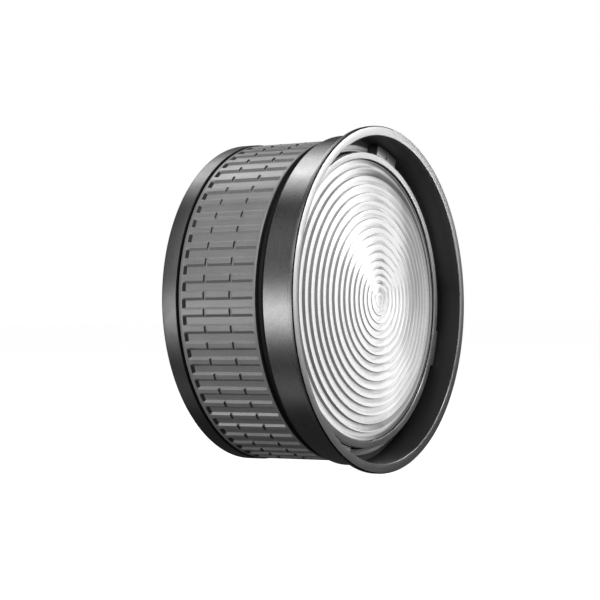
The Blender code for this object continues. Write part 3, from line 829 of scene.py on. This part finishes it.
# ------------------------------------------------------------------ rear housing
# slots: 0 outside, 1 inside; the outer chamfer at the front end also takes slot 1, painted shade
# over its glint
REAR_OUTLINE = [
    (117.25, -101.2, 0.12, 1), (117.6, -101.6, 0.12, 0), (117.6, -112.9, 0.5, 0),
    (116.4, PLATE_BACK, 0.4, 0), (52.4, PLATE_BACK, 0.15, 0), (52.0, -113.8, 0.1, 0),
    (52.0, -111.7, 0.1, 1), (115.2, -111.7, 0.3, 1), (115.2, -101.2, 0.15, 1),
]


def rear_housing():
    """The rear band and plate with four countersunk holes."""
    shell = lathe("rear_housing_shell", REAR_OUTLINE, mats("band", "black"))
    tools = []
    for angle in PLATE_ANGLES:
        tools.append(drill((PLATE_RADIUS, angle, -113.0), HOLE_RADIUS, depth=6.0, segments=32))
        tools.append(drill((PLATE_RADIUS, angle, -113.4), radius=3.4, far_radius=1.4,
                           depth=2.0, segments=40))
    cut(shell, tools)
    register(shell, "rear_housing")


def rear_screws():
    for number, angle in enumerate(PLATE_ANGLES, start=1):
        flush = screw(f"back_plate_screw_{number}", PLATE_RADIUS, angle, PLATE_BACK, 1,
                      COUNTERSUNK_ROUND, COUNTERSUNK_HEX)
        register(flush, f"barrel_screw_{number}")
        bolt = cap_screw(f"mount_screw_{number}", MOUNT_RADIUS, angle, seat=-117.3, facing=-1,
                         head=3.0, shank=1.55, shank_length=5.4, socket=1.4, dome=0.35)
        register(bolt, f"mount_ring_screw_{number}")


# ------------------------------------------------------------------ bayonet mount ring
# slots: 0 steel, 1 black bore
MOUNT_OUTLINE = [
    (68.0, -114.5, 0.15, 0), (68.0, -116.5, 0.2, 0), (67.5, -117.0, 0.2, 0),
    (48.9, -117.0, 0.3, 0), (48.5, -117.4, 0.1, 0), (48.5, -125.8, 0.15, 0),
    (48.1, -126.2, 0.15, 0), (44.5, -126.2, 0.15, 0), (44.0, -125.7, 0.15, 1),
    (44.0, -114.5, 0.15, 1),
]
LUG_HALF_ANGLE = 22


def mount_ring():
    """The flanged ring with four screw holes, and three lugs round its rear end."""
    ring = lathe("mount_ring_turned", MOUNT_OUTLINE, mats("mount", "black"), segments=192)
    cut(ring, [drill((MOUNT_RADIUS, angle, -116.0), radius=1.9, depth=6.0, segments=32)
               for angle in PLATE_ANGLES])
    register(ring, "mount_ring")
    for k in range(3):
        lug = arc_block(f"mount_lug_{k + 1}", radii=(48.3, 52.3), axials=(-125.8, -123.2),
                        angles=(120 * k - LUG_HALF_ANGLE, 120 * k + LUG_HALF_ANGLE),
                        bevel=0.3, mat=MAT["mount"])
        register(lug)


# ------------------------------------------------------------------ grip rubber
# Here axial places are given as distances behind the rim face.
POCKETS = 62
FIRST_POCKET = 269.27               # angle of its middle
GRIP_TOP = 117.07
GRIP_INSIDE = 112.9
POCKET_DEPTH = 1.58
NOTCH_DEPTH = 1.05
POCKET_FRONT, POCKET_REAR = 37.7, 96.4
PITCH = math.tau * GRIP_TOP / POCKETS
# (radius, distance behind the rim face) of the band's rounded end faces
FRONT_EDGE = [(GRIP_INSIDE, 35.4), (GRIP_TOP - 0.7, 35.25), (GRIP_TOP - 0.22, 35.35),
              (GRIP_TOP, 35.85)]
REAR_EDGE = [(GRIP_TOP, 98.85), (GRIP_TOP - 0.22, 99.35), (GRIP_TOP - 0.7, 99.45),
             (GRIP_INSIDE, 99.3)]
FLOOR_STATIONS = (42.0, 47.0, 52.0, 62.0, 67.0, 73.0, 83.0, 88.0, 92.0)
NOTCHES = (56.5, 78.2)
# one notch: (distance behind its middle, share of its depth), soft front lip, steep rear lip
NOTCH_CURVE = (
    (-1.9, 0.0), (-1.65, 0.0), (-1.45, 0.10), (-0.85, 0.92), (-0.7, 1.0), (0.1, 1.0),
    (0.25, 0.95), (0.38, 0.82), (0.90, 0.18), (1.03, 0.05), (1.18, 0.0), (1.5, 0.0),
)


def wall_curve(lip, foot):
    """Points (offset, depth share) down one drafted wall between two tight rounds."""
    slope = 0.98 / (lip - foot)
    return [
        (lip + 0.28, 0.0), (lip + 0.14, 0.0), (lip + 0.02, 0.02),
        (lip - 0.10, 0.10 * slope + 0.02), (lip - 0.24, 0.24 * slope + 0.02),
        (foot + 0.22, 1.0 - 0.22 * slope), (foot + 0.09, 1.0 - 0.09 * slope),
        (foot - 0.07, 1.0), (foot - 0.20, 1.0)]


def grip_columns():
    """(angle, pocket depth share) all the way round."""
    pocket = [(-offset, share) for offset, share in wall_curve(lip=4.05, foot=2.60)]
    pocket.append((0.0, 1.0))
    pocket += reversed(wall_curve(lip=4.32, foot=2.30))
    pocket.append((PITCH / 2, 0.0))
    columns = []
    for i in range(POCKETS):
        middle = FIRST_POCKET + i * 360.0 / POCKETS
        columns += [(middle + offset / PITCH * 360.0 / POCKETS, share)
                    for offset, share in pocket]
    return columns


def grip_stations():
    """(distance behind the rim face, pocket depth share, notch depth share) along the band."""
    stations = [(POCKET_FRONT + 4.1 - offset, share, 0.0)
                for offset, share in wall_curve(lip=4.1, foot=3.3)]
    stations += [(POCKET_REAR - 4.1 + offset, share, 0.0)
                 for offset, share in wall_curve(lip=4.3, foot=2.05)]
    stations += [(behind, 1.0, 0.0) for behind in FLOOR_STATIONS]
    stations += [(middle + offset, 1.0, share)
                 for middle in NOTCHES for offset, share in NOTCH_CURVE]
    return sorted(stations)


def grip_rubber():
    """The band with pockets round it and two notches running across its ribs."""
    columns = grip_columns()

    def edge_rings(edge):
        return [[polar(radius, angle, -behind) for angle, _ in columns]
                for radius, behind in edge]

    rings = edge_rings(FRONT_EDGE)
    for behind, end_share, notch_share in grip_stations():
        notch = notch_share * NOTCH_DEPTH
        rings.append([
            polar(GRIP_TOP - max(POCKET_DEPTH * share * end_share, notch), angle, -behind)
            for angle, share in columns])
    rings += edge_rings(REAR_EDGE)
    verts, faces = loft(rings, closed=True)
    grip = finish_mesh("grip_rubber_ribbed", verts, faces, mats("rubber"), sharp=55)
    register(grip, "grip_rubber", carrier="focus_ring")


# ------------------------------------------------------------------ lens carriage
CARRIER_OUTLINE = [
    (107.5, -17.1, 0.15, 0), (107.5, -52.0, 0.3, 0), (104.4, -52.0, 0.3, 0), (104.4, -25.0, 0.1, 0),
    (100.5, -25.0, 0.2, 0), (100.5, -22.6, 0.2, 0), (103.9, -22.6, 0.1, 0), (103.9, -20.1, 0.1, 0),
    (105.7, -20.1, 0.1, 0), (105.7, -17.1, 0.1, 0),
]
# slots: 0 turned ring, 1 bright edge (cut edge, partly painted highlight), 2 black
RETAINER_OUTLINE = [
    (107.15, -14.3, 0.12, 1), (107.5, -14.65, 0.12, 0), (107.5, -16.8, 0.1, 0),
    (105.4, -16.8, 0.05, 0), (105.4, -19.8, 0.1, 0), (104.2, -19.8, 0.1, 0),
    (104.2, -16.8, 0.05, 0), (102.3, -16.8, 0.1, 2), (102.3, -14.85, 0.12, 1),
    (102.85, -14.3, 0.12, 0),
]
GASKET_OUTLINE = [
    (103.6, -21.3, 0.3, 0), (103.6, -22.3, 0.3, 0), (101.2, -22.3, 0.3, 0), (101.2, -21.3, 0.3, 0),
]


def lens_carriage():
    carrier = lathe("lens_carrier_tube", CARRIER_OUTLINE, mats("black"),
                    segments=216, round_steps=2)
    register(carrier, "lens_carrier", carrier="lens_carriage")
    retainer = lathe("lens_ring_flat", RETAINER_OUTLINE, mats("ring", "edge", "black"))
    register(retainer, "lens_retaining_ring", carrier="lens_carriage")
    seal = lathe("lens_seal", GASKET_OUTLINE, mats("gasket"), segments=144)
    register(seal, "lens_gasket", carrier="lens_carriage")


# ------------------------------------------------------------------ fresnel glass
RISERS = [5.4, 11.4, 17.1, 22.4, 28.1, 34.0, 40.0, 46.2, 52.1, 58.8, 65.1, 71.3, 77.4, 83.8,
          90.0, 96.0]              # radii of the step walls
FACET_EDGE = 101.7                  # outer radius of the last facet
FACET_SHARES = (0.03, 0.1, 0.25, 0.5, 0.75, 0.9, 0.965)
RIM = [(103.35, -17.1, 0), (103.6, -17.35, 0), (103.6, -20.8, 0), (103.4, -21.0, 0),
       (100.0, -21.0, 0)]           # (radius, axial, slot)


def dome(radius):
    return DOME_TOP - DOME_RISE * (radius / DOME_RADIUS) ** 2


def step_height(radius):
    """Height of a step wall, growing outwards and halved near the middle."""
    return 2.9 * (1 - math.exp(-radius / 38.0)) * (1.0 if radius > 9 else 0.5)


def glass_outline():
    """(radius, axial, slot) points of the glass, and the ring mark of each point."""
    outline = [(0.0, dome(0) - 0.15, 0)]
    marks = [0.3]
    start = 0.0
    for i, end in enumerate(RISERS + [FACET_EDGE]):
        last = i == len(RISERS)
        height = step_height(end)
        valley = dome(start) - step_height(start) * 0.5
        crest = dome(end) + (0.25 if last else height * 0.5)
        for share in FACET_SHARES:
            bulge = math.sin(math.pi * share) * 0.10
            drop = 0.05 if share == 0.9 else 0.0       # softens the turn to the crest
            outline.append((start + (end - start) * share,
                            valley + (crest - valley) * share + bulge - drop, 0))
            marks.append(i + (share if i else 0.3 + 0.7 * share))
        if last:
            outline.append((end + 0.2, -17.05, 0))
            marks.append(i + 0.99)
        else:
            foot = dome(end) - height * 0.5
            outline += [(end - 0.10, crest - 0.03, 0), (end, crest - 0.14, 1),
                        (end + 0.06, foot + 0.12, 1), (end + 0.16, foot + 0.01, 0)]
            marks += [i + 0.98, i + 0.99, i + 0.995, i + 1.01]
        start = end
    outline += RIM
    for i in range(19, -1, -1):                        # the hollow rear surface
        radius = 100.0 * i / 20
        outline.append((radius, -12.5 - 8.5 * (radius / 100.0) ** 2, 0))
    marks += [len(RISERS) + 0.5] * (len(outline) - len(marks))
    return outline, marks


def fresnel_glass():
    """Stepped glass: each facet rises to a crest, then drops by a wall that faces outwards."""
    outline, marks = glass_outline()
    glass = lathe("fresnel_glass", [(radius, axial, 0.0, slot) for radius, axial, slot in outline],
                  mats("glass", "glass_step"), segments=360, sharp=24, marks=marks)
    register(glass, "fresnel_lens", carrier="lens_carriage")


# ------------------------------------------------------------------ all pieces, in order
front_housing()
guide_barrel()
for number, angle in enumerate(CLAMP_ANGLES, start=1):
    clamp_block(number, angle)
slide_rings()
rear_housing()
rear_screws()
mount_ring()
grip_rubber()
recolour("focus_sleeve", MAT["sleeve"])
lens_carriage()
fresnel_glass()
for number in (1, 2, 3):
    recolour(f"follower_pin_{number}", MAT["steel"])
    recolour(f"follower_bush_{number}", MAT["brass"])


# ------------------------------------------------------------------ stage, light, camera
def pale_floor():
    """A floor that the camera sees as almost white and that adds no light to the unit."""
    gap = 0.0002                                       # metres under the CAD pieces
    bpy.ops.mesh.primitive_plane_add(size=60, location=(0, 0, cad_box[0].z - gap))
    floor = bpy.context.object
    floor.name = "floor"
    m = new_shader("floor_pale")
    camera_ray = m.node("ShaderNodeLightPath", output="Is Camera Ray")
    pale = m.node("ShaderNodeBsdfDiffuse", {0: (0.5, 0.5, 0.5, 1)})
    glow = m.node("ShaderNodeEmission", {1: 0.97})
    seen = m.node("ShaderNodeAddShader", {0: pale, 1: glow})
    dark = m.node("ShaderNodeBsdfDiffuse", {0: (0.12, 0.12, 0.12, 1)})
    mix = m.node("ShaderNodeMixShader", {0: camera_ray, 1: dark, 2: seen})
    m.put(m.tree.nodes["Material Output"].inputs[0], mix)
    floor.data.materials.append(m.owner)
    for flag in ("visible_diffuse", "visible_glossy", "visible_transmission", "visible_shadow"):
        setattr(floor, flag, False)


def studio_world():
    """White to the camera, a dim grey to every other ray."""
    world = bpy.data.worlds.new("studio")
    bpy.context.scene.world = world
    w = Shader(world)
    camera_ray = w.node("ShaderNodeLightPath", output="Is Camera Ray")
    colours = {0: camera_ray, 6: (0.0424, 0.0424, 0.0424, 1), 7: (1.0, 1.0, 1.0, 1)}
    mix = w.node("ShaderNodeMix", colours, output=2, data_type="RGBA")
    background = w.tree.nodes["Background"]
    w.put(background.inputs[0], mix)
    background.inputs[1].default_value = 1.0


# name, direction from the origin, distance, width, height (metres), power (watts)
LIGHTS = [
    ("camleft_0.2", (-0.900, -0.100, 0.200), 1.500, 0.35, 0.35, 5.013),
    ("front_0.1", (0.200, -1.000, 0.100), 1.500, 0.50, 0.40, 4.496),
    ("topf", (-0.100, -0.700, 1.000), 1.300, 0.35, 0.35, 4.203),
    ("camleft_0.5", (-0.900, -0.100, 0.500), 1.500, 0.35, 0.35, 3.253),
    ("camleft_-0.1", (-0.900, -0.100, -0.100), 1.500, 0.35, 0.35, 2.739),
    ("fleft_0.5", (-0.700, -0.700, 0.500), 1.500, 0.35, 0.35, 2.520),
    ("fleft_1.2", (-0.700, -0.700, 1.200), 1.500, 0.35, 0.35, 2.179),
    ("rearleft_1.1", (-0.900, 0.350, 1.100), 1.500, 0.35, 0.35, 1.465),
    ("topr", (0.400, -0.200, 1.000), 1.300, 0.35, 0.35, 1.446),
    ("tile_0_3", (0.632, -0.705, 0.321), 0.934, 0.17, 0.20, 1.005),
    ("camleft_0.9", (-0.900, -0.100, 0.900), 1.500, 0.35, 0.35, 1.001),
    ("front_0.6", (0.200, -1.000, 0.600), 1.500, 0.50, 0.40, 0.843),
    ("rearleft_0.5", (-0.900, 0.350, 0.500), 1.500, 0.35, 0.35, 0.773),
    ("rearleft_-0.1", (-0.900, 0.350, -0.100), 1.500, 0.35, 0.35, 0.769),
    ("tile_3_4", (0.787, -0.405, 0.466), 1.074, 0.17, 0.20, 0.655),
    ("frontl_-0.4", (-0.500, -0.850, -0.400), 1.500, 0.50, 0.40, 0.547),
    ("cone_15", (0.219, 0.531, 0.818), 0.900, 0.28, 0.24, 0.489),
    ("front_-0.4", (0.200, -1.000, -0.400), 1.500, 0.50, 0.40, 0.457),
    ("frontl_0.1", (-0.500, -0.850, 0.100), 1.500, 0.50, 0.40, 0.440),
    ("tile_0_4", (0.581, -0.648, 0.492), 1.016, 0.17, 0.20, 0.409),
    ("cone_0", (0.000, 0.531, 0.847), 0.900, 0.28, 0.24, 0.372),
    ("cone_-90", (-0.847, 0.531, 0.000), 0.900, 0.28, 0.24, 0.306),
    ("cone_-105", (-0.818, 0.531, -0.219), 0.900, 0.28, 0.24, 0.260),
    ("tile_1_2", (0.751, -0.650, 0.111), 0.899, 0.17, 0.20, 0.217),
    ("frontl_0.6", (-0.500, -0.850, 0.600), 1.500, 0.50, 0.40, 0.197),
    ("slim_-98", (-0.839, 0.531, -0.118), 0.900, 0.12, 0.24, 0.162),
    ("cone_30", (0.423, 0.531, 0.734), 0.900, 0.28, 0.24, 0.147),
    ("topb", (-0.200, 0.350, 1.000), 1.300, 0.35, 0.35, 0.146),
    ("slim_7", (0.103, 0.531, 0.841), 0.900, 0.12, 0.24, 0.129),
    ("tile_0_2", (0.663, -0.740, 0.112), 0.890, 0.17, 0.20, 0.078),
    ("cone_-150", (-0.423, 0.531, -0.734), 0.900, 0.28, 0.24, 0.066),
    ("cone_-75", (-0.818, 0.531, 0.219), 0.900, 0.28, 0.24, 0.044),
    ("cone_-45", (-0.599, 0.531, 0.599), 0.900, 0.28, 0.24, 0.044),
    ("cone_-120", (-0.734, 0.531, -0.423), 0.900, 0.28, 0.24, 0.030),
    ("cone_-60", (-0.734, 0.531, 0.424), 0.900, 0.28, 0.24, 0.027),
]


def softbox(name, direction, distance, width, height, power):
    """A rectangular light aimed at the origin."""
    data = bpy.data.lights.new(name, "AREA")
    data.shape = "RECTANGLE"
    data.size, data.size_y = width, height
    data.energy = power
    data.spread = math.pi
    outward = Vector(direction).normalized()
    ob = link_object(name, data)
    ob.location = outward * distance
    ob.rotation_mode = "QUATERNION"
    ob.rotation_quaternion = outward.to_track_quat("Z", "Y")
    ob.visible_camera = False


def add_camera():
    """A long lens in front of the unit and to its left."""
    data = bpy.data.cameras.new("camera")
    data.sensor_width = 36.0
    data.lens = 111.14
    data.clip_start, data.clip_end = 0.05, 100.0
    camera = link_object("camera", data)
    right = Vector((0.53098, -0.84727, -0.01346))
    up = Vector((0.0, -0.01588, 0.99987))
    axes = Matrix((right, up, right.cross(up))).transposed().to_4x4()
    camera.matrix_world = Matrix.Translation((-1.1674, FRONT_Y - 0.6587, -0.0107)) @ axes
    bpy.context.scene.camera = camera


pale_floor()
studio_world()
for light in LIGHTS:
    softbox(*light)
add_camera()
bpy.context.scene.view_settings.view_transform = "Standard"
